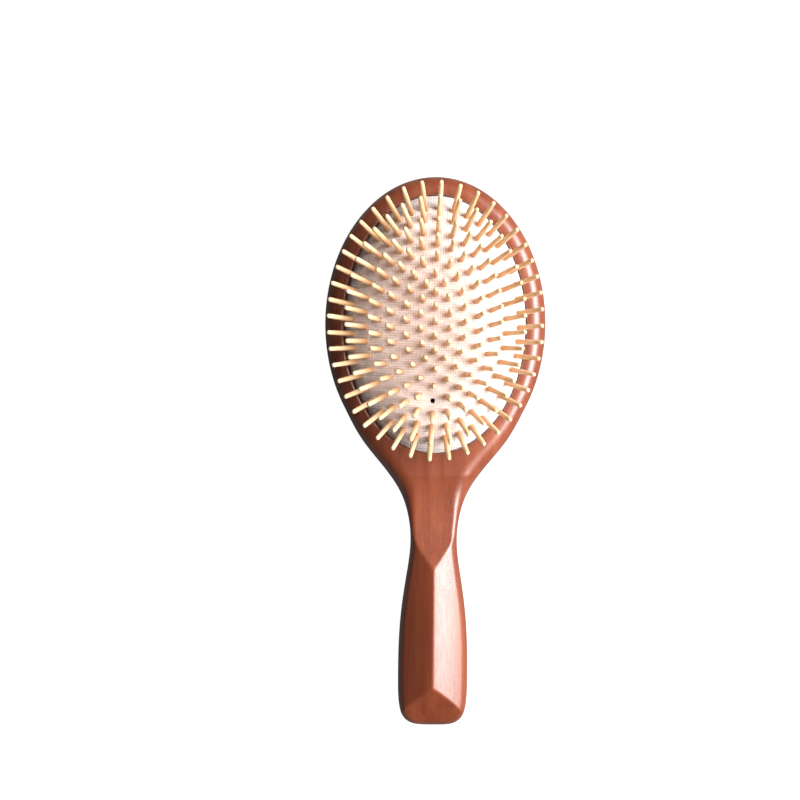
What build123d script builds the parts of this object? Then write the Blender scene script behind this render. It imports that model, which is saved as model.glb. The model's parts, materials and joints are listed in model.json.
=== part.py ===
from build123d import *
from math import atan2, cos, degrees, pi, radians, sin, tan
import os

# A cushioned wooden hairbrush, lying on its flat back.
# The frame: +Y points to the top of the head, the handle to -Y, +X to the right, +Z out of the
# pin side. The origin is under the middle of the brush, on the flat back. All sizes are in mm.

# ---- The wooden body ----
LENGTH = 230.0              # over all, head to handle end
HEAD_HALF_WIDTH = 46.2
HEAD_HALF_LENGTH = 61.5     # the head's oval, top to centre
HEAD_Y = LENGTH / 2 - HEAD_HALF_LENGTH
SHOULDER_ANGLE = -34.0      # where the oval turns into the shoulder, in degrees below its middle
NECK_Y = -36.5
NECK_HALF_WIDTH = 9.65
GRIP_Y = -91.0              # the handle is widest here
GRIP_HALF_WIDTH = 14.5
BUTT_EXPONENT = 4.0         # the handle's end is a superellipse, blunt with rounded corners
RIM_Z = 14.0                # the flat rim round the cushion
RIDGE_Z = 18.4              # the ridge along the handle
ROOF_SLOPE = 0.44           # mean fall of the handle's two long faces, per mm from the ridge
BUTT_RIDGE_Y = -97.8        # the ridge ends here and a third plane falls to the handle's end
BUTT_SLOPE = 0.56
SCOOP_Y = -21.5             # lowest line of the hollow across the neck
SCOOP_Z = 12.5
SCOOP_RADIUS = 45.0
SCOOP_TURN = 16.3           # past this angle the hollow runs straight up on to the ridge
BACK_ROUND = 4.0            # rounding of the edge between back and side

# ---- The pocket that holds the cushion ----
POCKET_Y = 52.9
POCKET_RX = 37.9
POCKET_RY = 53.7
POCKET_FLOOR_Z = 5.0
POCKET_LIP_ROUND = 0.8
GROOVE_DEPTH = 1.1
GROOVE_BOTTOM_Z = 10.2
GROOVE_TOP_Z = 12.4

# ---- The air cushion: a rubber membrane faced with cloth ----
STRETCH = POCKET_RY / POCKET_RX   # the cushion is turned round, then stretched into an oval
CROWN = 9.0                 # how far the dome stands over its own edge
DOME_EXPONENT = 4.0         # flat in the middle, steep at the edge
EDGE_DROP = 0.5             # the edge dips this far under the rim
CLOTH_THICKNESS = 0.6
RUBBER_THICKNESS = 1.8
FACING_GAP = 0.05           # between cloth and rubber
POCKET_GAP = 0.15           # between cushion and wood
SKIRT_THICKNESS = 1.6
BEAD_REACH = 0.9            # how far the bead at the membrane's edge stands into the groove
DOME_STEPS = 6              # flat facets from the dome's middle to its edge
SECTORS = 40                # and round it
VENT_X = -0.9               # the vent stands where a pin of the fourth ring is left out
VENT_Y = 20.9
VENT_RADIUS = 1.0
VENT_CLEARANCE = 3.0        # no pin stands nearer to the vent than this

# ---- The pins ----
PIN_OUT = 17.0              # length that stands out of the cloth
PIN_BASE_RADIUS = 1.2
PIN_TIP_RADIUS = 0.92
PIN_HOLE_RADIUS = 1.45
PIN_SHANK = 3.1             # from the cloth down to the pin's head
PIN_HEAD_RADIUS = 1.8
PIN_HEAD_THICKNESS = 1.2
CENTRE_PINS = 5
CENTRE_PITCH = 5.9
# Each ring: name, half width and half length of its oval, number of pins, outward lean in
# degrees, and the share of a pitch by which the pins are turned clockwise from the middle line.
# At the sides each ring's pins stand in the gaps of the next one.
RINGS = (
    ("pins_ring_1", 34.4, 47.1, 44, 32.5, 0.25),
    ("pins_ring_2", 28.8, 42.3, 38, 26.0, 0.20),
    ("pins_ring_3", 23.1, 37.0, 32, 12.0, 0.15),
    ("pins_ring_4", 17.4, 31.8, 26, 6.0, 0.10),
    ("pins_ring_5", 11.5, 25.8, 20, 3.0, 0.08),
    ("pins_ring_6", 5.8, 19.2, 14, 1.0, 0.0),
)


def closed_face(lines):
    """The face inside lines that meet end to end."""
    return make_face(Wire([edge for line in lines for edge in line.edges()]))


def body_outline():
    """The brush seen from the front: an oval head, a slim neck and a grip with a blunt end."""
    head = EllipticalCenterArc(
        (0, HEAD_Y),
        HEAD_HALF_WIDTH,
        HEAD_HALF_LENGTH,
        start_angle=SHOULDER_ANGLE,
        arc_size=180 - 2 * SHOULDER_ANGLE,
    )
    shoulder_top = head @ 0
    shoulder = [(29.8, 3.9), (21.6, -6.3), (14.6, -16.3), (10.7, -27.0)]
    grip = [(11.3, -51.7), (13.4, -66.8)]
    neck = (NECK_HALF_WIDTH, NECK_Y)
    widest = (GRIP_HALF_WIDTH, GRIP_Y)
    into_head = head % 0
    right = Spline(
        [shoulder_top] + shoulder + [neck] + grip + [widest],
        tangents=[-into_head, (0, -1)],
    )
    left = mirror(right, Plane.YZ)
    butt_length = GRIP_Y + LENGTH / 2
    butt = [widest]
    for step in range(1, 12):
        turn = step * pi / 12
        x = GRIP_HALF_WIDTH * abs(cos(turn)) ** (2 / BUTT_EXPONENT)
        y = GRIP_Y - butt_length * sin(turn) ** (2 / BUTT_EXPONENT)
        butt.append((x if turn < pi / 2 else -x, y))
    butt.append((-GRIP_HALF_WIDTH, GRIP_Y))
    end = Spline(butt, tangents=[(0, -1), (0, 1)])
    return closed_face([head, right, end, left])


def prism_along_x(points):
    """A block as wide as the head, whose side view is the polygon of (y, z) points."""
    side_view = make_face(Polyline(*[(0, y, z) for y, z in points], close=True))
    return extrude(side_view, HEAD_HALF_WIDTH + 5, dir=(1, 0, 0), both=True)


def wooden_body():
    """One piece of wood: flat back, flat rim, hollowed neck, roof-shaped handle, pocket."""
    blank = extrude(body_outline(), RIDGE_Z)
    back_edge = blank.edges().group_by(Axis.Z)[0]
    blank = fillet(back_edge, BACK_ROUND)

    # The front is cut down to the rim over the head.
    crease_y = SCOOP_Y + (SCOOP_RADIUS**2 - (SCOOP_RADIUS + SCOOP_Z - RIM_Z) ** 2) ** 0.5
    over_rim = [
        (crease_y, RIM_Z),
        (LENGTH, RIM_Z),
        (LENGTH, RIDGE_Z + 5),
        (crease_y, RIDGE_Z + 5),
    ]
    blank -= prism_along_x(over_rim)

    # A hollow across the neck: a large round cut that runs out straight on to the ridge.
    centre_z = SCOOP_Z + SCOOP_RADIUS
    turn = radians(SCOOP_TURN)
    crease = (0, crease_y, RIM_Z)
    lowest = (0, SCOOP_Y, SCOOP_Z)
    straight_y = SCOOP_Y - SCOOP_RADIUS * sin(turn)
    straight_z = centre_z - SCOOP_RADIUS * cos(turn)
    over_y = straight_y - (RIDGE_Z + 5 - straight_z) / tan(turn)
    straight = (0, straight_y, straight_z)
    hollow = closed_face(
        [
            ThreePointArc(crease, lowest, straight),
            Line(straight, (0, over_y, RIDGE_Z + 5)),
            Line((0, over_y, RIDGE_Z + 5), (0, crease_y, RIDGE_Z + 5)),
            Line((0, crease_y, RIDGE_Z + 5), crease),
        ]
    )
    blank -= extrude(hollow, HEAD_HALF_WIDTH + 5, dir=(1, 0, 0), both=True)

    # Two long planes fall from the handle's ridge to its sides, and a third to its end.
    for side in (-1, 1):
        reach = GRIP_HALF_WIDTH + 5
        roof = make_face(
            Polyline(
                (0, 0, RIDGE_Z),
                (side * reach, 0, RIDGE_Z - ROOF_SLOPE * reach),
                (side * reach, 0, RIDGE_Z + 5),
                (0, 0, RIDGE_Z + 5),
                close=True,
            )
        )
        blank -= extrude(Pos(0, SCOOP_Y, 0) * roof, LENGTH, dir=(0, -1, 0))
    end_y = -LENGTH / 2 - 5
    over_butt = [
        (BUTT_RIDGE_Y, RIDGE_Z),
        (end_y, RIDGE_Z + BUTT_SLOPE * (end_y - BUTT_RIDGE_Y)),
        (end_y, RIDGE_Z + 5),
        (BUTT_RIDGE_Y, RIDGE_Z + 5),
    ]
    blank -= prism_along_x(over_butt)

    # The oval pocket, its rounded lip, and the groove that the cushion's bead sits in.
    pocket_centre = Pos(0, POCKET_Y, POCKET_FLOOR_Z)
    blank -= pocket_centre * extrude(Ellipse(POCKET_RX, POCKET_RY), RIM_Z)
    lip = blank.edges().filter_by(lambda edge: is_pocket_lip(edge))
    blank = fillet(lip, POCKET_LIP_ROUND)
    groove = Ellipse(POCKET_RX + GROOVE_DEPTH, POCKET_RY + GROOVE_DEPTH * STRETCH)
    blank -= Pos(0, POCKET_Y, GROOVE_BOTTOM_Z) * extrude(groove, GROOVE_TOP_Z - GROOVE_BOTTOM_Z)
    return blank


def is_pocket_lip(edge):
    """True for the oval edge where the pocket's wall meets the rim."""
    box = edge.bounding_box()
    flat = box.max.Z - box.min.Z < 0.01
    return flat and abs(box.max.Z - RIM_Z) < 0.01 and abs(box.size.Y - 2 * POCKET_RY) < 0.5


def dome_z(share):
    """Height of the cloth, where share goes from 0 in the middle to 1 at the pocket's wall."""
    return RIM_Z - EDGE_DROP + CROWN * (1 - share**DOME_EXPONENT)


def dome_line(depth, radius):
    """Points (r, z) along the dome, depth under the cloth's face, from the middle to radius."""
    points = []
    for step in range(DOME_STEPS + 1):
        r = radius * (step / DOME_STEPS) ** 0.6
        points.append((r, dome_z(r / POCKET_RX) - depth))
    return points


def faceted_oval(profile):
    """A closed (r, z) profile carried round the oval in flat facets, as one solid."""
    facets = []
    corners = list(zip(profile, profile[1:] + profile[:1]))
    for sector in range(SECTORS):
        near = 2 * pi * sector / SECTORS
        far = 2 * pi * (sector + 1) / SECTORS
        for (r0, z0), (r1, z1) in corners:
            ring = [(r0, z0, near), (r1, z1, near), (r1, z1, far), (r0, z0, far)]
            if r0 == 0 and r1 == 0:
                continue
            if r0 == 0:
                ring = ring[:3]
            elif r1 == 0:
                ring = [ring[0], ring[1], ring[3]]
            points = [
                (r * cos(turn), POCKET_Y + r * STRETCH * sin(turn), z) for r, z, turn in ring
            ]
            facets.append(Face(Wire.make_polygon(points)))
    return Solid(Shell(facets))


def cloth_point(x, y):
    """The point on the cloth's face over (x, y), which are measured from the pocket's centre."""
    share = ((x / POCKET_RX) ** 2 + (y / POCKET_RY) ** 2) ** 0.5
    return Pos(x, POCKET_Y + y, dome_z(share))


def pin_places():
    """For each ring, its name and the location of each of its pins, at the cloth's face."""
    vent = Vector(VENT_X, VENT_Y - POCKET_Y)
    places = {}
    for name, half_width, half_length, count, lean, share in RINGS:
        oval = Edge.make_ellipse(half_width, half_length)
        places[name] = []
        for pin in range(count):
            along = oval.length * (1 - (pin + share) / count)
            point = oval.position_at(along, position_mode=PositionMode.LENGTH)
            tangent = oval.tangent_at(along, position_mode=PositionMode.LENGTH)
            if (point - vent).length < VENT_CLEARANCE:
                continue
            outward = degrees(atan2(tangent.Y, tangent.X)) - 90
            foot = cloth_point(point.X, point.Y)
            places[name].append(foot * Rot(0, 0, outward) * Rot(0, lean, 0))
    middle = (CENTRE_PINS - 1) / 2
    places["pins_centre_row"] = [
        cloth_point(0, (pin - middle) * CENTRE_PITCH) for pin in range(CENTRE_PINS)
    ]
    return places


def cut_pin_holes(skin, places):
    """Clearance holes for every pin, and the vent that lets the air out."""
    drill = Pos(0, 0, -PIN_SHANK / 2) * Cylinder(PIN_HOLE_RADIUS, PIN_SHANK + 4)
    holes = [location * drill for ring in places.values() for location in ring]
    vent = Pos(VENT_X, VENT_Y, RIM_Z + CROWN) * Cylinder(VENT_RADIUS, 2 * CROWN)
    return skin - (holes + [vent])


def cushion_cloth(places):
    """The cloth facing, over the dome and down into the gap at its edge."""
    outer = POCKET_RX - POCKET_GAP
    inner = outer - CLOTH_THICKNESS
    foot_z = GROOVE_TOP_Z + POCKET_GAP
    skirt = [(outer, foot_z), (inner, foot_z)]
    under = dome_line(CLOTH_THICKNESS, inner)
    return cut_pin_holes(faceted_oval(dome_line(0, outer) + skirt + under[::-1]), places)


def cushion_rubber(places):
    """The rubber membrane: a dome with a skirt, and a bead that snaps into the groove."""
    outer = POCKET_RX - POCKET_GAP - CLOTH_THICKNESS - FACING_GAP
    inner = outer - SKIRT_THICKNESS
    bead = POCKET_RX + BEAD_REACH
    bead_top = GROOVE_TOP_Z - POCKET_GAP
    bead_bottom = GROOVE_BOTTOM_Z + POCKET_GAP
    depth = CLOTH_THICKNESS + FACING_GAP
    skirt = [(outer, bead_top), (bead, bead_top), (bead, bead_bottom), (inner, bead_bottom)]
    under = dome_line(depth + RUBBER_THICKNESS, inner)
    return cut_pin_holes(faceted_oval(dome_line(depth, outer) + skirt + under[::-1]), places)


def brush_pin():
    """One turned pin, its foot at the origin: flat head, shank, tapered body, round tip."""
    head_top = -PIN_SHANK
    head_bottom = head_top - PIN_HEAD_THICKNESS
    tip_centre = PIN_OUT - PIN_TIP_RADIUS
    outline = closed_face(
        [
            Line((0, 0, head_bottom), (PIN_HEAD_RADIUS, 0, head_bottom)),
            Line((PIN_HEAD_RADIUS, 0, head_bottom), (PIN_HEAD_RADIUS, 0, head_top)),
            Line((PIN_HEAD_RADIUS, 0, head_top), (PIN_BASE_RADIUS, 0, head_top)),
            Line((PIN_BASE_RADIUS, 0, head_top), (PIN_BASE_RADIUS, 0, 0)),
            Line((PIN_BASE_RADIUS, 0, 0), (PIN_TIP_RADIUS, 0, tip_centre)),
            ThreePointArc(
                (PIN_TIP_RADIUS, 0, tip_centre),
                (PIN_TIP_RADIUS * cos(radians(45)), 0, tip_centre + PIN_TIP_RADIUS * sin(radians(45))),
                (0, 0, PIN_OUT),
            ),
            Line((0, 0, PIN_OUT), (0, 0, head_bottom)),
        ]
    )
    return revolve(outline, Axis.Z)


os.makedirs("parts", exist_ok=True)
pin_locations = pin_places()
nodes = {
    "wooden_body": wooden_body(),
    "cushion_rubber": cushion_rubber(pin_locations),
    "cushion_cloth": cushion_cloth(pin_locations),
}
pin = brush_pin()
for ring_name, locations in pin_locations.items():
    nodes[ring_name] = Compound([location * pin for location in locations])
for node_name, shape in nodes.items():
    export_step(shape, f"parts/{node_name}.step")
print("pins:", sum(len(ring) for ring in pin_locations.values()))
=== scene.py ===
# %% [markdown]
# # A cushioned wooden hairbrush
# The brush lies on its flat back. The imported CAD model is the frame: it says where every piece
# is and how it moves, and this script gives each piece its finished shape and its finish.
# Every Blender object is in metres. Shapes are worked out in millimetres, as a turner or a
# joiner would write them down, and turned to metres when a mesh is made.

# %% Load the frame
import json
import math
import bmesh
import bpy
import numpy as np
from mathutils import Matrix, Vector


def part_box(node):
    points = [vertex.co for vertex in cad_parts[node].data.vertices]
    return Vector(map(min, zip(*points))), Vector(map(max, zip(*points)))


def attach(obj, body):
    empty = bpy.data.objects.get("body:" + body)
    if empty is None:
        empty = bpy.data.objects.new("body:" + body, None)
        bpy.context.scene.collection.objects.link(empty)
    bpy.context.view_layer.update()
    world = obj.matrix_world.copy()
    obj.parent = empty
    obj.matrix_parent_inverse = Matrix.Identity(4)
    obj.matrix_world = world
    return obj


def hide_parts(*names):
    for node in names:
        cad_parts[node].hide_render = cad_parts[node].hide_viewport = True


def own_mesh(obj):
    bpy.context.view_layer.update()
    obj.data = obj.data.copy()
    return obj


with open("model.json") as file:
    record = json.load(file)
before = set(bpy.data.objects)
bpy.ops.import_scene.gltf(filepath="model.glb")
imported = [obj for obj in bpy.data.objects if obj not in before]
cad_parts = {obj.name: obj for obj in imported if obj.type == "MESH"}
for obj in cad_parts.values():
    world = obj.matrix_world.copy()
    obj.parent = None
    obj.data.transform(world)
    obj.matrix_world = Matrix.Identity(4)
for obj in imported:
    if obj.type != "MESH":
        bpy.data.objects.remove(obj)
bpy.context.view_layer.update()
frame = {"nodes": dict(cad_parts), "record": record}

MM = 0.001

# %% [markdown]
# ## Sizes
# The overall sizes come from the frame's boxes. The few sizes that a box can't give, such as
# the rounding of an edge, are named once, beside the piece that they shape.

# %% Sizes from the frame
wood_low, wood_high = (np.array(corner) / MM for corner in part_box("wooden_body"))
cloth_low, cloth_high = (np.array(corner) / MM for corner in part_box("cushion_cloth"))

HEAD_TOP = wood_high[1]
HANDLE_END = wood_low[1]
HEAD_RX = (wood_high[0] - wood_low[0]) / 2
HEAD_RY = 61.5
HEAD_Y = HEAD_TOP - HEAD_RY
RIDGE_Z = wood_high[2]
RIM_Z = 14.0
CUSHION_Y = (cloth_low[1] + cloth_high[1]) / 2
CLOTH_RX = (cloth_high[0] - cloth_low[0]) / 2
CLOTH_RY = (cloth_high[1] - cloth_low[1]) / 2
CLOTH_GAP = 0.15
POCKET_RX = CLOTH_RX + CLOTH_GAP
POCKET_RY = CLOTH_RY * POCKET_RX / CLOTH_RX
print("head", HEAD_RX, HEAD_RY, "at y", HEAD_Y, "pocket", POCKET_RX, POCKET_RY)

# %% [markdown]
# ## A mesh from rings
# Almost everything on this brush can be built from closed rings of points joined by quads:
# the wooden body, the cushion and every pin. Points that fall on each other, as at the middle
# of a cap, are merged, so each piece is one clean closed skin.


# %% Mesh helpers
def ring_quads(ring_count, ring_size, first=0):
    """Quads between each ring and the next, for rings of ring_size points."""
    start = first + np.arange(ring_count - 1)[:, None] * ring_size
    here = np.arange(ring_size)[None, :]
    after = (here + 1) % ring_size
    quads = np.stack([start + here, start + after, start + ring_size + after,
                      start + ring_size + here], axis=-1)
    return quads.reshape(-1, 4)


def make_piece(name, points, faces, merge=0.004):
    """A smooth-shaded mesh object from points in millimetres. Returns the object."""
    mesh = bpy.data.meshes.new(name)
    mesh.from_pydata((np.asarray(points) * MM).tolist(), [], np.asarray(faces).tolist())
    return finish_piece(name, mesh, merge)


def finish_piece(name, mesh, merge):
    """Merges points within merge millimetres, smooths the mesh and makes its object."""
    work = bmesh.new()
    work.from_mesh(mesh)
    bmesh.ops.remove_doubles(work, verts=work.verts, dist=merge * MM)
    bmesh.ops.recalc_face_normals(work, faces=work.faces)
    for face in work.faces:
        face.smooth = True
    work.to_mesh(mesh)
    work.free()
    piece = bpy.data.objects.new(name, mesh)
    bpy.context.collection.objects.link(piece)
    print(name, len(mesh.vertices), "vertices")
    return piece


# %% [markdown]
# ## Wooden body: the outline
# The body is sawn and shaped from one piece of beech. Seen from the front it is an oval head
# that runs through a hollow shoulder into a slim neck, and a handle that swells and ends in a
# blunt curve. The oval is a formula, the shoulder and handle are one smooth curve through a
# few points, and the end is a superellipse, which is flatter than an ellipse.

# %% Outline of the body
SHOULDER_ANGLE = math.radians(-34.0)
GRIP_Y = -91.0
GRIP_HALF_WIDTH = 14.5
SIDE_POINTS = [(29.8, 3.9), (21.6, -6.3), (14.6, -16.3), (10.7, -27.0), (9.65, -36.5),
               (11.3, -51.7), (13.4, -66.8), (GRIP_HALF_WIDTH, GRIP_Y)]


def smooth_curve(knots, values, start_slope, end_slope, wanted):
    """A cubic curve through (knots, values), with knots rising and slopes set at both ends."""
    gaps = np.diff(knots)
    rises = np.diff(values) / gaps
    count = len(knots)
    matrix = np.eye(count)
    right = np.zeros(count)
    right[0], right[-1] = start_slope, end_slope
    for i in range(1, count - 1):
        matrix[i, i - 1: i + 2] = (gaps[i], 2 * (gaps[i - 1] + gaps[i]), gaps[i - 1])
        right[i] = 3 * (gaps[i] * rises[i - 1] + gaps[i - 1] * rises[i])
    slopes = np.linalg.solve(matrix, right)
    span = np.clip(np.searchsorted(knots, wanted) - 1, 0, count - 2)
    t = (wanted - knots[span]) / gaps[span]
    bend_in = gaps[span] * slopes[span]
    bend_out = gaps[span] * slopes[span + 1]
    rise = values[span + 1] - values[span]
    return (values[span] + t * bend_in + t**2 * (3 * rise - 2 * bend_in - bend_out)
            + t**3 * (bend_in + bend_out - 2 * rise))


def right_side(count):
    """Evenly spaced points down the right side, from the head's top to the handle's end."""
    turn = np.linspace(math.pi / 2, SHOULDER_ANGLE, 400)
    head = np.column_stack([HEAD_RX * np.cos(turn), HEAD_Y + HEAD_RY * np.sin(turn)])
    knots = np.array([tuple(head[-1])] + SIDE_POINTS)[::-1]
    into_head = (-HEAD_RX * math.sin(SHOULDER_ANGLE)) / (HEAD_RY * math.cos(SHOULDER_ANGLE))
    heights = np.linspace(head[-1][1], GRIP_Y, 500)
    widths = smooth_curve(knots[:, 1], knots[:, 0], 0.0, into_head, heights)
    shoulder = np.column_stack([widths, heights])
    turn = np.linspace(0, math.pi / 2, 600)
    butt = np.column_stack([GRIP_HALF_WIDTH * np.cos(turn) ** 0.5,
                            GRIP_Y + (HANDLE_END - GRIP_Y) * np.sin(turn) ** 0.5])
    line = np.concatenate([head[:-1], shoulder[:-1], butt])
    run = np.concatenate([[0], np.cumsum(np.hypot(*np.diff(line, axis=0).T))])
    even = np.linspace(0, run[-1], count)
    return np.column_stack([np.interp(even, run, line[:, 0]), np.interp(even, run, line[:, 1])])


SIDE_COUNT = 520
side = right_side(SIDE_COUNT)
side[0, 0] = side[-1, 0] = 0.0
outline = np.concatenate([side, (side * (-1, 1))[-2:0:-1]])
ahead = np.roll(outline, -1, axis=0) - np.roll(outline, 1, axis=0)
outward = np.column_stack([-ahead[:, 1], ahead[:, 0]])
outward /= np.linalg.norm(outward, axis=1)[:, None]
print("outline points", len(outline), "width at neck", 2 * side[:, 0][side[:, 1] < 0].min())

# %% [markdown]
# ## Wooden body: the front
# The maker's cutters left five faces on the front: the flat rim round the cushion, a round
# hollow across the neck that runs out straight on to the handle, two long and slightly swelling
# faces that fall from the handle's ridge, and a short flat one at its end. Where two faces
# meet, sandpaper has softened the edge a little. A smooth minimum of the faces' heights gives
# just that.

# %% Height of the front
SCOOP_Y, SCOOP_Z, SCOOP_RADIUS = -21.5, 12.5, 45.0
SCOOP_TURN = math.radians(16.3)
ROOF_SLOPE = 0.36
ROOF_SWELL = 0.010
BUTT_RIDGE_Y = -97.8
BUTT_SLOPE = 0.56
EDGE_SOFTNESS = 0.16
RIDGE_SOFTNESS = 0.45


def smooth_min(a, b, softness):
    """The lower of a and b, with the corner between them rounded."""
    near = np.clip(softness - np.abs(a - b), 0, None) / softness
    return np.minimum(a, b) - near**2 * softness / 4


def blend_in(value, low, high):
    """0 below low, 1 above high and a smooth step between."""
    t = np.clip((value - low) / (high - low), 0, 1)
    return t * t * (3 - 2 * t)


def front_height(x, y):
    """Height of the front face over a point of the plan, before its edges are rounded."""
    reach = np.abs(y - SCOOP_Y)
    turn = np.arcsin(np.clip(reach / SCOOP_RADIUS, 0, math.sin(SCOOP_TURN)))
    past = np.clip(reach - SCOOP_RADIUS * math.sin(SCOOP_TURN), 0, None)
    hollow = SCOOP_Z + SCOOP_RADIUS * (1 - np.cos(turn)) + past * math.tan(SCOOP_TURN)
    over_neck = smooth_min(hollow, np.full_like(x, RIM_Z), EDGE_SOFTNESS)
    from_ridge = np.sqrt(x**2 + RIDGE_SOFTNESS**2) - RIDGE_SOFTNESS
    roof = RIDGE_Z - ROOF_SLOPE * from_ridge - ROOF_SWELL * x**2
    butt = RIDGE_Z + BUTT_SLOPE * (y - BUTT_RIDGE_Y)
    on_handle = smooth_min(smooth_min(roof, butt, 2 * EDGE_SOFTNESS), hollow, 2 * EDGE_SOFTNESS)
    return np.where(y > SCOOP_Y, over_neck, on_handle)


# %% [markdown]
# ## Wooden body: the skin
# Rings follow the outline. Those near the edge are set in along its normal and dropped on a
# quarter round, wide over the head, widest at the neck and narrow along the handle. Inside
# them, straight lines
# run to the pocket's lip round the head and to the middle line along the neck and handle. The
# pocket itself is a few more rings: lip, wall, groove and floor.

# %% Build the wooden body
HEAD_ROUND = 6.2
CREASE_ROUND = 7.4          # widest where the rim turns down into the neck
HANDLE_ROUND = 2.6
BACK_ROUND = 4.0
LIP_ROUND = 1.3
ROUND_STEPS = 12
INNER_STEPS = 38
POCKET_FLOOR_Z = 5.0
GROOVE_DEPTH = 1.1
GROOVE_BOTTOM_Z, GROOVE_TOP_Z = 10.2, 12.4
LAST_HEAD_Y = -10.0         # below this the lines run to the middle line
FULLY_HANDLE_Y = -34.0
END_CENTRE_Y = HANDLE_END + 9.0
SPINE_TOP_Y = 80.0          # where the back's middle line stops short of the head's top
HEAD_ROUND_ENDS_Y = 20.0    # the rounding widens from here down to the crease
CREASE_Y = -9.7
HANDLE_ROUND_STARTS_Y = -31.0


def oval(rx, ry, turn):
    """Points of an oval round the cushion's centre."""
    return np.column_stack([rx * np.cos(turn), CUSHION_Y + ry * np.sin(turn)])


def pocket_turns():
    """For each outline point, the angle of the pocket's lip that its line runs to."""
    x, y = side.T
    turn = np.arctan2((y - HEAD_Y) / HEAD_RY, x / HEAD_RX)
    start_y = HEAD_Y + HEAD_RY * math.sin(SHOULDER_ANGLE)
    down = np.clip((start_y - y) / (start_y - LAST_HEAD_Y), 0, 1)
    turn = np.where(y > start_y, turn, SHOULDER_ANGLE + (-math.pi / 2 - SHOULDER_ANGLE) * down)
    return np.concatenate([turn, (math.pi - turn)[-2:0:-1]])


turns = pocket_turns()
lip_rx, lip_ry = POCKET_RX + LIP_ROUND, POCKET_RY + LIP_ROUND
lip = oval(lip_rx, lip_ry, turns)
lip_end_y = CUSHION_Y - lip_ry
drift = (lip_end_y - LAST_HEAD_Y) * (1 - blend_in(-outline[:, 1], -LAST_HEAD_Y, -FULLY_HANDLE_Y))
middle_y = np.maximum(outline[:, 1] + drift, END_CENTRE_Y)
on_head = outline[:, 1] > LAST_HEAD_Y
target = np.where(on_head[:, None], lip, np.column_stack([np.zeros(len(outline)), middle_y]))

to_crease = blend_in(-outline[:, 1], -HEAD_ROUND_ENDS_Y, -CREASE_Y)
to_handle = blend_in(-outline[:, 1], -CREASE_Y, -HANDLE_ROUND_STARTS_Y)
round_width = HEAD_ROUND + (CREASE_ROUND - HEAD_ROUND) * to_crease
round_width += (HANDLE_ROUND - CREASE_ROUND) * to_handle


def back_rings():
    """From the middle of the back out to the edge, and up its rounding."""
    spine_y = np.clip(outline[:, 1], END_CENTRE_Y, SPINE_TOP_Y)
    spine = np.column_stack([np.zeros(len(outline)), spine_y])
    flat_edge = outline - outward * BACK_ROUND
    rings = []
    for share in np.linspace(0, 1, 9):
        plan = spine + (flat_edge - spine) * share
        rings.append(np.column_stack([plan, np.zeros(len(outline))]))
    for turn in np.linspace(0, math.pi / 2, 9)[1:]:
        plan = outline - outward * BACK_ROUND * (1 - math.sin(turn))
        height = np.full(len(outline), BACK_ROUND * (1 - math.cos(turn)))
        rings.append(np.column_stack([plan, height]))
    return rings


def front_rings():
    """Up the rounding of the front edge and in to the pocket's lip or the middle line."""
    rings = []
    for turn in np.linspace(0, math.pi / 2, ROUND_STEPS + 1):
        plan = outline - outward * (round_width * (1 - math.cos(turn)))[:, None]
        height = front_height(*plan.T) - round_width * (1 - math.sin(turn))
        rings.append(np.column_stack([plan, height]))
    inner_edge = outline - outward * round_width[:, None]
    for share in np.linspace(0, 1, INNER_STEPS + 1)[1:]:
        plan = inner_edge + (target - inner_edge) * share
        rings.append(np.column_stack([plan, front_height(*plan.T)]))
    return rings


def pocket_rings():
    """From the lip down the wall, round the groove and over the floor to its middle."""
    turn = turns[on_head]
    profile = [(LIP_ROUND * (1 - math.sin(a)), RIM_Z - LIP_ROUND * (1 - math.cos(a)))
               for a in np.linspace(0, math.pi / 2, 7)]
    profile += [(0, GROOVE_TOP_Z), (GROOVE_DEPTH, GROOVE_TOP_Z), (GROOVE_DEPTH, GROOVE_BOTTOM_Z),
                (0, GROOVE_BOTTOM_Z), (0, POCKET_FLOOR_Z)]
    rings = []
    for out, height in profile:
        plan = oval(POCKET_RX + out, POCKET_RY + out, turn)
        rings.append(np.column_stack([plan, np.full(len(turn), height)]))
    for share in (0.66, 0.33, 0.0):
        plan = oval(POCKET_RX * share, POCKET_RY * share, turn)
        rings.append(np.column_stack([plan, np.full(len(turn), POCKET_FLOOR_Z)]))
    return rings


outer_rings = back_rings() + front_rings()
inner_rings = pocket_rings()
outer_count = len(outer_rings) * len(outline)
body_points = np.concatenate([np.concatenate(outer_rings), np.concatenate(inner_rings)])
body_faces = np.concatenate([
    ring_quads(len(outer_rings), len(outline)),
    ring_quads(len(inner_rings), len(inner_rings[0]), first=outer_count),
])
wooden_body = make_piece("wooden_body_shaped", body_points, body_faces)
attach(wooden_body, "brush")
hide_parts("wooden_body")

# %% [markdown]
# ## Pins
# Each pin is turned from pale hardwood: a flat head that sits under the rubber, a shank, a
# tapered body and a rounded tip. The frame already holds every pin as a plain solid, so the
# script reads each one's axis from it and turns a finer pin on that axis. A small difference
# in thickness, length and tone from pin to pin is what real turned pins show.


# %% Read the pins' axes
def islands(mesh):
    """The separate solids of a mesh, each as an array of its corner points in millimetres."""
    parent = list(range(len(mesh.vertices)))

    def root(i):
        while parent[i] != i:
            parent[i] = parent[parent[i]]
            i = parent[i]
        return i

    places = {}
    for vertex in mesh.vertices:
        key = tuple(round(c, 7) for c in vertex.co)
        parent[vertex.index] = places.setdefault(key, vertex.index)
    for edge in mesh.edges:
        a, b = root(edge.vertices[0]), root(edge.vertices[1])
        parent[max(a, b)] = min(a, b)
    groups = {}
    for index in set(places.values()):
        groups.setdefault(root(index), []).append(tuple(mesh.vertices[index].co))
    return [np.array(groups[key]) / MM for key in sorted(groups)]


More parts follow.
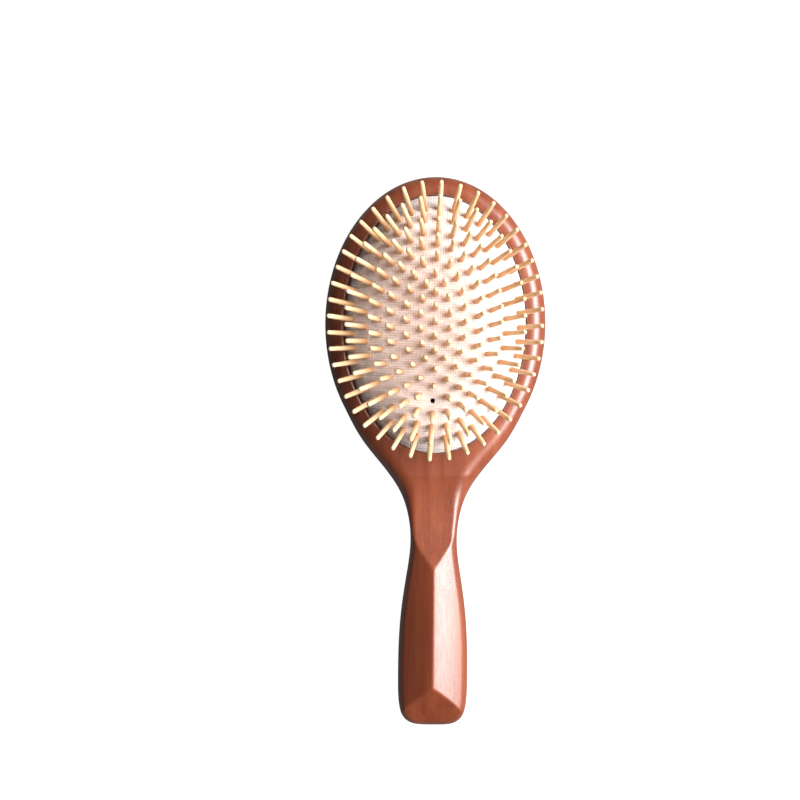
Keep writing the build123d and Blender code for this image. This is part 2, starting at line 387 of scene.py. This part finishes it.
def pin_axis(points):
    """(head end, tip end) of a turned solid, both on its axis."""
    centre = points.mean(axis=0)
    direction = np.linalg.eigh(np.cov((points - centre).T))[1][:, -1]
    if direction[2] < 0:
        direction = -direction
    along = (points - centre) @ direction
    return centre + direction * along.min(), centre + direction * along.max()


PIN_NODES = [name for name in frame["nodes"] if name.startswith("pins_")]
pin_axes = {name: [pin_axis(p) for p in islands(frame["nodes"][name].data)] for name in PIN_NODES}
print({name: len(axes) for name, axes in pin_axes.items()})

# %% Turn the pins
PIN_HEAD_RADIUS = 1.8
PIN_HEAD_THICKNESS = 1.2
PIN_SHANK = 3.1
PIN_BASE_RADIUS = 1.2
PIN_TIP_RADIUS = 0.92
PIN_SIDES = 20
HEAD_BEVEL = 0.2
POINT_MERGE = 0.0001        # millimetres: joins the points that fall together at a pin's ends
rng = np.random.default_rng(7)


def pin_profile(length, thickness):
    """(distance from the head's end, radius) along one pin, head to tip."""
    foot = PIN_HEAD_THICKNESS + PIN_SHANK
    tip = PIN_TIP_RADIUS * thickness
    base = PIN_BASE_RADIUS * thickness
    line = [(0, 0), (0, PIN_HEAD_RADIUS - HEAD_BEVEL), (HEAD_BEVEL, PIN_HEAD_RADIUS),
            (PIN_HEAD_THICKNESS - HEAD_BEVEL, PIN_HEAD_RADIUS),
            (PIN_HEAD_THICKNESS, PIN_HEAD_RADIUS - HEAD_BEVEL),
            (PIN_HEAD_THICKNESS, base), (foot, base)]
    straight = length - tip
    for share in np.linspace(0, 1, 9)[1:]:
        line.append((foot + (straight - foot) * share, base + (tip - base) * share**0.9))
    for turn in np.linspace(0, math.pi / 2, 6)[1:]:
        line.append((straight + tip * math.sin(turn), max(tip * math.cos(turn), 0.0)))
    return line


def turn_pins(name, axes):
    """All the pins of one ring as one mesh, with a tone and a grain position on every point."""
    points, faces, tones, grain = [], [], [], []
    for head, tip in axes:
        direction = (tip - head) / np.linalg.norm(tip - head)
        across = np.cross(direction, (0.0, 1.0, 0.0))
        across /= np.linalg.norm(across)
        other = np.cross(direction, across)
        thickness = rng.uniform(0.94, 1.03)
        length = np.linalg.norm(tip - head) - rng.uniform(0.0, 0.5)
        profile = pin_profile(length, thickness)
        spin = rng.uniform(0, 2 * math.pi)
        tone = rng.uniform(0, 1)
        offset = rng.uniform(0, 400, 3)
        first = len(points)
        for along, radius in profile:
            for turn in np.arange(PIN_SIDES) * 2 * math.pi / PIN_SIDES + spin:
                sideways = across * math.cos(turn) + other * math.sin(turn)
                points.append(head + direction * along + sideways * radius)
                tones.append((tone, along / length, 0.0))
                local = [radius * math.cos(turn - spin), radius * math.sin(turn - spin), along]
                grain.append(np.array(local) + offset)
        faces.append(ring_quads(len(profile), PIN_SIDES, first))
    mesh = bpy.data.meshes.new(name)
    mesh.from_pydata((np.array(points) * MM).tolist(), [], np.concatenate(faces).tolist())
    for label, values in (("pin_tone", tones), ("pin_grain", grain)):
        layer = mesh.attributes.new(label, "FLOAT_VECTOR", "POINT")
        layer.data.foreach_set("vector", np.array(values, dtype=np.float32).ravel())
    return finish_piece(name, mesh, POINT_MERGE)


body_of_node = {node: body for body, nodes in frame["record"]["behaviour"]["bodies"].items()
                for node in nodes}
pin_pieces = {}
for node, axes in pin_axes.items():
    piece = turn_pins(node + "_turned", axes)
    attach(piece, body_of_node[node])
    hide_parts(node)
    pin_pieces[node] = piece
print("turned", sum(len(axes) for axes in pin_axes.values()), "pins")

# %% [markdown]
# ## Cushion
# The cushion is a rubber membrane with a woven facing, domed by the air behind it. The facing
# is stretched over the dome like a drum skin, tucked into the gap at the wood, and lifted a
# little where each pin comes through it. The dome is nearly flat in the middle and steep at
# its edge. Both skins are polar grids given a real thickness, with a vent hole cut through.

# %% Build the cushion
CROWN = 9.0
DOME_EXPONENT = 4.0
CROWN_Z = cloth_high[2]
CLOTH_THICKNESS = 0.6
RUBBER_THICKNESS = 1.8
FACING_GAP = 0.05
VENT_PLACE = (-0.9, 20.9)
VENT_RADIUS = 1.0
TUCK_DEPTH = 1.3            # how far the edge is tucked down into the gap at the wood
TENT_HEIGHT = 0.5
TENT_REACH = 1.9
TUCK_STARTS = 0.965         # share of the way from the cushion's middle to its edge
TENTS_FADE = (0.93, 0.995)  # the tents fade out between these shares
SKIRT_DEPTH = 0.4           # how far the facing's skirt reaches below the groove's top

pin_feet = []
for axes in pin_axes.values():
    for head, tip in axes:
        direction = (tip - head) / np.linalg.norm(tip - head)
        pin_feet.append(head + direction * (PIN_HEAD_THICKNESS + PIN_SHANK))
pin_feet = np.array(pin_feet)


def tents(plan):
    """How far the facing is lifted near each pin."""
    away = np.min(np.linalg.norm(plan[:, None, :] - pin_feet[None, :, :2], axis=2), axis=1)
    return TENT_HEIGHT * np.exp(-((away / TENT_REACH) ** 2))


def dome(name, rx, ry, top_z, crown, foot_z, thickness, lifted):
    """A domed oval skin with a short skirt, its vent cut out, given a thickness inwards."""
    around, steps = 560, 120
    turn = np.arange(around) * 2 * math.pi / around
    rings = []
    for share in 1 - (1 - np.linspace(0, 1, steps + 1)) ** 1.15:
        plan = oval(rx * share, ry * share, turn)
        tuck = TUCK_DEPTH * blend_in(share, TUCK_STARTS, 1.0)
        height = np.full(around, top_z - crown * share**DOME_EXPONENT - tuck)
        if lifted:
            height = height + tents(plan) * blend_in(-share, -TENTS_FADE[1], -TENTS_FADE[0])
        rings.append(np.column_stack([plan, height]))
    for height in np.linspace(top_z - crown - TUCK_DEPTH, foot_z, 4)[1:]:
        rings.append(np.column_stack([oval(rx, ry, turn), np.full(around, height)]))
    piece = make_piece(name, np.concatenate(rings), ring_quads(len(rings), around))
    cut_vent(piece)
    solid = piece.modifiers.new("thickness", "SOLIDIFY")
    solid.thickness = thickness * MM
    solid.offset = -1
    bake_modifiers(piece)
    return piece


def cut_vent(piece):
    """Removes the faces inside the vent and pulls the edge left over onto its circle."""
    work = bmesh.new()
    work.from_mesh(piece.data)
    centre = np.array(VENT_PLACE) * MM
    inside = [f for f in work.faces
              if np.hypot(*(np.array(f.calc_center_median()[:2]) - centre)) < VENT_RADIUS * MM]
    bmesh.ops.delete(work, geom=inside, context="FACES")
    for vertex in work.verts:
        if vertex.is_boundary:
            away = np.array(vertex.co[:2]) - centre
            distance = np.hypot(*away)
            if distance < 2 * VENT_RADIUS * MM:
                vertex.co.x, vertex.co.y = centre + away * VENT_RADIUS * MM / distance
    work.to_mesh(piece.data)
    work.free()


def bake_modifiers(piece):
    """Replaces the piece's mesh with what its modifiers make."""
    shaped = bpy.data.meshes.new_from_object(
        piece.evaluated_get(bpy.context.evaluated_depsgraph_get()))
    piece.modifiers.clear()
    piece.data = shaped


cloth = dome("cushion_facing", CLOTH_RX, CLOTH_RY, CROWN_Z, CROWN,
             GROOVE_TOP_Z - SKIRT_DEPTH, CLOTH_THICKNESS, lifted=True)
inset = CLOTH_THICKNESS + FACING_GAP
rubber = dome("cushion_membrane", CLOTH_RX - inset, CLOTH_RY - inset, CROWN_Z - inset, CROWN,
              GROOVE_BOTTOM_Z + CLOTH_GAP, RUBBER_THICKNESS, lifted=False)
for piece, node, slot in ((cloth, "cushion_cloth", "cushion_cloth"),
                          (rubber, "cushion_rubber", "cushion_rubber")):
    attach(piece, "brush")
    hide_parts(node)
    bpy.context.view_layer.update()

for piece in (cloth, rubber):
    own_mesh(piece)

# %% [markdown]
# ## Finishes
# One function adds a node, sets what is set on it and links what feeds it. Colours are written
# as sRGB hex values, as a paint chart gives them, and turned to linear light in one place.


# %% Material helpers
def linear(hex_colour):
    """A linear RGBA colour from an sRGB hex value such as "#C08050"."""
    parts = [int(hex_colour[i: i + 2], 16) / 255 for i in (1, 3, 5)]
    return [p / 12.92 if p <= 0.04045 else ((p + 0.055) / 1.055) ** 2.4 for p in parts] + [1.0]


def add_node(tree, kind, settings=None, **sockets):
    """Adds a node; a socket is given a value, or an output to link, by its name or number."""
    node = tree.nodes.new("ShaderNode" + kind)
    for name, value in (settings or {}).items():
        setattr(node, name, value)
    for name, value in sockets.items():
        key = int(name[1:]) if name[0] == "_" and name[1:].isdigit() else name.replace("_", " ")
        if isinstance(value, bpy.types.NodeSocket):
            tree.links.new(value, node.inputs[key])
        else:
            node.inputs[key].default_value = value
    return node


def new_material(name):
    """An empty node material: (material, its node tree, its surface shader)."""
    material = bpy.data.materials.new(name)
    material.use_nodes = True
    tree = material.node_tree
    tree.nodes.clear()
    output = tree.nodes.new("ShaderNodeOutputMaterial")
    shader = tree.nodes.new("ShaderNodeBsdfPrincipled")
    tree.links.new(shader.outputs["BSDF"], output.inputs["Surface"])
    return material, tree, shader


def ramp(tree, fac, stops):
    """A colour ramp through (position, hex colour) stops."""
    node = add_node(tree, "ValToRGB", Fac=fac)
    elements = node.color_ramp.elements
    while len(elements) < len(stops):
        elements.new(0.5)
    for element, (position, colour) in zip(elements, stops):
        element.position = position
        element.color = linear(colour)
    return node.outputs["Color"]


# %% [markdown]
# ### Beech, stained red-brown and oiled
# Beech has no strong rings. What the eye sees is a soft streakiness along the grain and the
# short dark flecks of its rays. Oil fills the pores and leaves a satin gloss that breaks up
# along the fibres. Each pattern is noise, stretched along the grain. Its two numbers say how
# many of its patches there are in a millimetre across the grain and along it. The flecks and
# fibres are too fine for the front view to show one by one, and only roughen it a little.

# %% Beech material
FIGURE_PER_MM = (0.06, 0.005)
STREAKS_PER_MM = (0.26, 0.014)
FLECKS_PER_MM = (2.6, 0.33)
FIBRES_PER_MM = (3.8, 0.16)


def along_grain(tree, place, per_mm):
    """The place, in patches of a pattern that is stretched along the brush."""
    across, along = (count / MM for count in per_mm)
    return add_node(tree, "Mapping", Vector=place, Scale=(across, along, across)).outputs[0]


def maths(tree, operation, first, second=0.0, third=0.0):
    """The output of a Math node."""
    return add_node(tree, "Math", {"operation": operation}, _0=first, _1=second,
                    _2=third).outputs[0]


def oiled_beech():
    material, tree, shader = new_material("oiled_beech")
    place = add_node(tree, "TexCoord").outputs["Object"]
    streak_place = along_grain(tree, place, STREAKS_PER_MM)
    streaks = add_node(tree, "TexNoise", Vector=streak_place, Scale=1.0, Detail=5.0,
                       Roughness=0.6, Distortion=0.4).outputs["Fac"]
    figure_place = along_grain(tree, place, FIGURE_PER_MM)
    figure = add_node(tree, "TexNoise", Vector=figure_place, Scale=1.0, Detail=3.0,
                      Roughness=0.5, Distortion=1.2).outputs["Fac"]
    tone = maths(tree, "MULTIPLY_ADD", streaks, 0.55, maths(tree, "MULTIPLY", figure, 0.45))
    wood = ramp(tree, tone, [(0.34, "#6C2F19"), (0.5, "#7C3B21"), (0.66, "#8D492A")])
    fleck_place = along_grain(tree, place, FLECKS_PER_MM)
    flecks = add_node(tree, "TexNoise", Vector=fleck_place, Scale=1.0, Detail=1.5,
                      Roughness=0.5).outputs["Fac"]
    fleck_mask = add_node(tree, "MapRange", Value=flecks, From_Min=0.60, From_Max=0.70).outputs[0]
    fleck_share = maths(tree, "MULTIPLY", fleck_mask, 0.22)
    colour = add_node(tree, "Mix", {"data_type": "RGBA"}, Factor=fleck_share, _6=wood,
                      _7=linear("#4E2012"))
    tree.links.new(colour.outputs[2], shader.inputs["Base Color"])
    fibre_place = along_grain(tree, place, FIBRES_PER_MM)
    fibres = add_node(tree, "TexNoise", Vector=fibre_place, Scale=1.0, Detail=2.0,
                      Roughness=0.6).outputs["Fac"]
    rough = add_node(tree, "MapRange", Value=fibres, From_Min=0.3, From_Max=0.7, To_Min=0.3,
                     To_Max=0.46).outputs[0]
    tree.links.new(rough, shader.inputs["Roughness"])
    relief = maths(tree, "SUBTRACT", fibres, fleck_mask)
    bump = add_node(tree, "Bump", Height=relief, Strength=0.35, Distance=0.00006)
    tree.links.new(bump.outputs[0], shader.inputs["Normal"])
    shader.inputs["IOR"].default_value = 1.5
    shader.inputs["Coat Weight"].default_value = 0.6
    shader.inputs["Coat Roughness"].default_value = 0.32
    return material


wooden_body.data.materials.append(oiled_beech())

# %% [markdown]
# ### Pale turned hardwood for the pins
# The pins are unstained, so they keep the straw colour of hornbeam or maple. Towards the
# foot they are painted browner, as painted shade where they crowd over the cushion. The grain
# runs along each pin.

# %% Pin material
PIN_GRAIN_PER_MM = (3.0, 3.0, 0.22)


def turned_hardwood():
    material, tree, shader = new_material("turned_hardwood")
    grain_place = add_node(tree, "Attribute", {"attribute_name": "pin_grain"}).outputs["Vector"]
    stretched = add_node(tree, "Mapping", Vector=grain_place, Scale=PIN_GRAIN_PER_MM).outputs[0]
    grain = add_node(tree, "TexNoise", Vector=stretched, Scale=1.0, Detail=4.0,
                     Roughness=0.6).outputs["Fac"]
    facts = add_node(tree, "Attribute", {"attribute_name": "pin_tone"}).outputs["Vector"]
    split = add_node(tree, "SeparateXYZ", Vector=facts)
    mixed = maths(tree, "MULTIPLY_ADD", split.outputs["X"], 0.45,
                  maths(tree, "MULTIPLY", grain, 0.6))
    wood = ramp(tree, mixed, [(0.15, "#D8B185"), (0.5, "#E2C298"), (0.85, "#EAD0AB")])
    # Painted shade: the pins are coloured browner towards the foot, where they stand close over
    # the cushion.
    foot = add_node(tree, "MapRange", Value=split.outputs["Y"], From_Min=0.2, From_Max=0.6,
                    To_Min=0.8, To_Max=0.0).outputs[0]
    colour = add_node(tree, "Mix", {"data_type": "RGBA"}, Factor=foot, _6=wood,
                      _7=linear("#C98A4E"))
    tree.links.new(colour.outputs[2], shader.inputs["Base Color"])
    rough = add_node(tree, "MapRange", Value=grain, To_Min=0.42, To_Max=0.6).outputs[0]
    tree.links.new(rough, shader.inputs["Roughness"])
    bump = add_node(tree, "Bump", Height=grain, Strength=0.3, Distance=0.00005)
    tree.links.new(bump.outputs[0], shader.inputs["Normal"])
    shader.inputs["IOR"].default_value = 1.5
    shader.inputs["Subsurface Weight"].default_value = 0.08
    shader.inputs["Subsurface Radius"].default_value = (0.002, 0.001, 0.0006)
    return material


pin_wood = turned_hardwood()
for piece in pin_pieces.values():
    piece.data.materials.append(pin_wood)

# %% [markdown]
# ### Plain-woven cotton for the facing
# The facing is an open plain weave with a thread about every millimetre, and it is laid on
# about two degrees askew. The pitch along the brush is set very slightly wider than the one
# across it. Between four threads there is a small hole, painted dark brown: the rubber below
# in painted shade. The over-and-under of the threads gives a fine relief. The pattern is made
# from sine waves in millimetres.

# %% Facing material
PITCH_ACROSS = 1.01
PITCH_ALONG = 1.04
WEAVE_TURN = math.radians(2.1)
YARN_WANDER = 0.16          # millimetres that a thread strays from straight


def woven_cotton():
    material, tree, shader = new_material("woven_cotton")
    place = add_node(tree, "TexCoord").outputs["Object"]
    wobble = add_node(tree, "TexNoise", Vector=place, Scale=350.0, Detail=2.0).outputs["Color"]
    shift = add_node(tree, "VectorMath", {"operation": "SCALE"}, _0=wobble,
                     Scale=YARN_WANDER * MM).outputs[0]
    bent = add_node(tree, "VectorMath", {"operation": "ADD"}, _0=place, _1=shift).outputs[0]
    askew = add_node(tree, "Mapping", Vector=bent, Rotation=(0, 0, WEAVE_TURN)).outputs[0]
    split = add_node(tree, "SeparateXYZ", Vector=askew)
    across = maths(tree, "MULTIPLY", split.outputs["X"], math.pi / (PITCH_ACROSS * MM))
    along = maths(tree, "MULTIPLY", split.outputs["Y"], math.pi / (PITCH_ALONG * MM))
    warp = maths(tree, "ABSOLUTE", maths(tree, "SINE", across))
    weft = maths(tree, "ABSOLUTE", maths(tree, "SINE", along))
    over = maths(tree, "MULTIPLY", maths(tree, "SINE", across), maths(tree, "SINE", along))
    under = maths(tree, "MULTIPLY", over, -1.0)
    lift = maths(tree, "MAXIMUM", maths(tree, "MULTIPLY", warp, maths(tree, "ADD", over, 1.0)),
                 maths(tree, "MULTIPLY", weft, maths(tree, "ADD", under, 1.0)))
    closed = maths(tree, "MAXIMUM", warp, weft)
    hole = add_node(tree, "MapRange", Value=closed, From_Min=0.38, From_Max=0.78, To_Min=1.0,
                    To_Max=0.0).outputs[0]
    slub = add_node(tree, "TexNoise", Vector=place, Scale=900.0, Detail=3.0).outputs["Fac"]
    yarn = ramp(tree, slub, [(0.3, "#F0DDD6"), (0.5, "#F8E9E3"), (0.7, "#FDF4F0")])
    # Painted shade: the holes take a dark brown, the rubber below as it looks in the shade of the
    # threads.
    colour = add_node(tree, "Mix", {"data_type": "RGBA"}, _6=yarn, _7=linear("#4A3024"),
                      Factor=maths(tree, "MULTIPLY", hole, 0.9))
    tree.links.new(colour.outputs[2], shader.inputs["Base Color"])
    bump = add_node(tree, "Bump", Height=lift, Strength=0.6, Distance=0.00012)
    tree.links.new(bump.outputs[0], shader.inputs["Normal"])
    shader.inputs["Roughness"].default_value = 0.85
    shader.inputs["Sheen Weight"].default_value = 0.25
    shader.inputs["Sheen Roughness"].default_value = 0.5
    return material


cloth.data.materials.append(woven_cotton())

# %% [markdown]
# ### Natural rubber for the membrane
# Almost all of it is hidden by the facing. It is moulded natural rubber: brown, matt and
# faintly mottled with talc.


# %% Rubber material
def natural_rubber():
    material, tree, shader = new_material("natural_rubber")
    place = add_node(tree, "TexCoord").outputs["Object"]
    mottle = add_node(tree, "TexNoise", Vector=place, Scale=400.0, Detail=4.0).outputs["Fac"]
    colour = ramp(tree, mottle, [(0.3, "#6A4A34"), (0.6, "#7C5A42"), (0.8, "#927258")])
    tree.links.new(colour, shader.inputs["Base Color"])
    rough = add_node(tree, "MapRange", Value=mottle, To_Min=0.6, To_Max=0.85).outputs[0]
    tree.links.new(rough, shader.inputs["Roughness"])
    bump = add_node(tree, "Bump", Height=mottle, Strength=0.3, Distance=0.00005)
    tree.links.new(bump.outputs[0], shader.inputs["Normal"])
    return material


rubber.data.materials.append(natural_rubber())

# %% [markdown]
# ## Floor, light and camera
# The brush lies on a seamless white sweep. One large softbox stands to its right and a little
# towards its head, high enough to mirror in the right-hand faces. A weak white light from all
# round fills the shadows.

# %% Floor
def white_sweep():
    """Pure white to look at, and a mid grey in the light that it throws back at the brush."""
    material, tree, shader = new_material("white_sweep")
    place = add_node(tree, "TexCoord").outputs["Object"]
    paper = add_node(tree, "TexNoise", Vector=place, Scale=60.0, Detail=3.0).outputs["Fac"]
    colour = ramp(tree, paper, [(0.3, "#6E6E6E"), (0.7, "#767676")])
    seen = add_node(tree, "LightPath").outputs["Is Camera Ray"]
    tree.links.new(colour, shader.inputs["Base Color"])
    tree.links.new(seen, shader.inputs["Emission Strength"])
    shader.inputs["Roughness"].default_value = 0.9
    shader.inputs["Specular IOR Level"].default_value = 0.0
    shader.inputs["Emission Color"].default_value = (1.0, 1.0, 1.0, 1.0)
    return material


FLOOR_REACH = 4.0           # metres from the brush to each side of the floor
FLOOR_GAP = 0.0002          # metres below the brush, so that the two faces don't coincide
corners = [(-FLOOR_REACH, -FLOOR_REACH, 0), (FLOOR_REACH, -FLOOR_REACH, 0),
           (FLOOR_REACH, FLOOR_REACH, 0), (-FLOOR_REACH, FLOOR_REACH, 0)]
floor_mesh = bpy.data.meshes.new("floor")
floor_mesh.from_pydata(corners, [], [(0, 1, 2, 3)])
floor = bpy.data.objects.new("floor", floor_mesh)
floor.location.z = wood_low[2] * MM - FLOOR_GAP
bpy.context.collection.objects.link(floor)
floor.data.materials.append(white_sweep())


# %% Lights
KEY_PLACE = (0.575, 0.10, 0.58)
KEY_TARGET = (0, 0.0, 0.01)
KEY_ALONG, KEY_ACROSS = 0.86, 0.36      # metres along the brush, and across its own tilt
KEY_WATTS = 23.5
FILL_STRENGTH = 0.10


def aim(thing, target):
    """Turns a light so that it looks at target."""
    thing.rotation_euler = (Vector(target) - thing.location).to_track_quat("-Z", "Y").to_euler()


def softbox(name, place, target, width, height, watts, colour):
    """An evenly lit rectangle at place, turned to face target."""
    light = bpy.data.lights.new(name, "AREA")
    light.shape = "RECTANGLE"
    light.size, light.size_y = width, height
    light.energy = watts
    light.color = linear(colour)[:3]
    lamp = bpy.data.objects.new(name, light)
    lamp.location = place
    bpy.context.collection.objects.link(lamp)
    aim(lamp, target)


softbox("key_softbox", KEY_PLACE, KEY_TARGET, KEY_ALONG, KEY_ACROSS, KEY_WATTS, "#FFFFFF")
world = bpy.data.worlds.new("studio")
world.use_nodes = True
background = world.node_tree.nodes["Background"]
background.inputs["Color"].default_value = (1.0, 1.0, 1.0, 1.0)
background.inputs["Strength"].default_value = FILL_STRENGTH
bpy.context.scene.world = world
bpy.context.scene.view_settings.view_transform = "Standard"

# %% Camera
CAMERA_HEIGHT = 0.520
CAMERA_Y = 0.012
PLAN_SCALE = 0.0004195      # metres of the brush's mid-height plane in each of 800 columns
MID_HEIGHT = 0.008
FRAME_CENTRE = (-0.0145, 0.0215)
ROLL = math.radians(0.45)
IMAGE_WIDTH = 800
SENSOR_WIDTH = 36.0
camera_data = bpy.data.cameras.new("camera")
view_width = IMAGE_WIDTH * PLAN_SCALE
camera_data.sensor_width = SENSOR_WIDTH
camera_data.lens = SENSOR_WIDTH * (CAMERA_HEIGHT - MID_HEIGHT) / view_width
camera_data.shift_x = FRAME_CENTRE[0] / view_width
camera_data.shift_y = (FRAME_CENTRE[1] - CAMERA_Y) / view_width
camera = bpy.data.objects.new("camera", camera_data)
camera.location = (0, CAMERA_Y, CAMERA_HEIGHT)
camera.rotation_euler = (0, 0, ROLL)
bpy.context.collection.objects.link(camera)
bpy.context.scene.camera = camera
print("lens", round(camera_data.lens, 1), "mm")

# %% Update the scene
bpy.context.view_layer.update()
